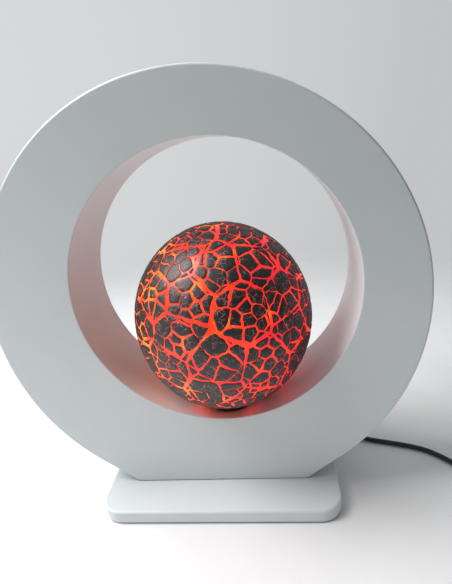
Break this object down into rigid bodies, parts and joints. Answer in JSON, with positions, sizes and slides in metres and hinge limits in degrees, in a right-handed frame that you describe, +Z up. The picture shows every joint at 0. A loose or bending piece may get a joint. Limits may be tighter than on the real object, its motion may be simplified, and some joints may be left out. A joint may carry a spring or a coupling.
{
  "type": "plasma ball",
  "caption": "Desk plasma globe with a black crackle coat over a red glow, seated in the hole of a thick white ring frame on a flat base plate, with power cord and rear rocker switch.",
  "frame": {"origin": "middle of the base plate's footprint, on the surface that the rubber feet stand on", "axes": "+X to the right seen from the front, +Y away from the viewer through the ring's hole, +Z up"},
  "size_m": [0.5465, 0.182, 0.3985],
  "materials": {
    "white_shell": "fine matt white",
    "white_base": "fine matt white",
    "steel": "zinc-plated",
    "rubber": "soft matt",
    "black_plastic": "fine matt",
    "glass": "clear",
    "red_glow": "translucent red lacquer, lit from inside",
    "crackle_paint": "rough crackle lacquer",
    "electrode": "wire wool",
    "insulator": "unglazed",
    "red_wire": "silicone",
    "circuit_board": "solder mask",
    "ferrite": "matt dark grey",
    "potting": "resin",
    "bare_aluminium": "extruded",
    "capacitor_sleeve": "shrink sleeve",
    "terminal_plastic": "moulded",
    "brown_wire": "PVC",
    "blue_wire": "PVC",
    "cord_black": "PVC sheath, satin",
    "tie_strap": "woven",
    "pin_metal": "nickel-plated"
  },
  "bodies": {
    "lamp": {"ring_shell": "white_shell", "back_cover": "white_shell", "base_plate": "white_base", "cover_screws": "steel", "base_screws": "steel", "board_screws": "steel", "rubber_feet": "rubber", "neck_collar": "black_plastic", "collar_gasket": "rubber", "lock_ring": "black_plastic", "globe_glass": "glass", "red_lacquer": "red_glow", "crackle_coat": "crackle_paint", "electrode_stem": "glass", "electrode_ball": "electrode", "neck_cap": "insulator", "hv_lead": "red_wire", "driver_board": "circuit_board", "transformer_core": "ferrite", "transformer_winding": "potting", "heatsink": "bare_aluminium", "power_transistor": "potting", "capacitors": "capacitor_sleeve", "input_terminal": "terminal_plastic", "live_lead": "brown_wire", "neutral_lead": "blue_wire", "switch_lead_in": "brown_wire", "switch_lead_out": "brown_wire", "switch_body": "black_plastic", "cord_gland": "cord_black", "power_cord": "cord_black", "cord_coil": "cord_black", "cord_tail": "cord_black", "cord_tie": "tie_strap", "plug_body": "cord_black", "plug_pins": "pin_metal"},
    "rocker": {"switch_rocker": "black_plastic"}
  },
  "joints": [
    {"name": "power_switch", "type": "hinge", "parent": "lamp", "child": "rocker", "pos_m": [-0.05, 0.0404, 0.058], "axis": [1, 0, 0], "range_deg": [0, 24]}
  ]
}
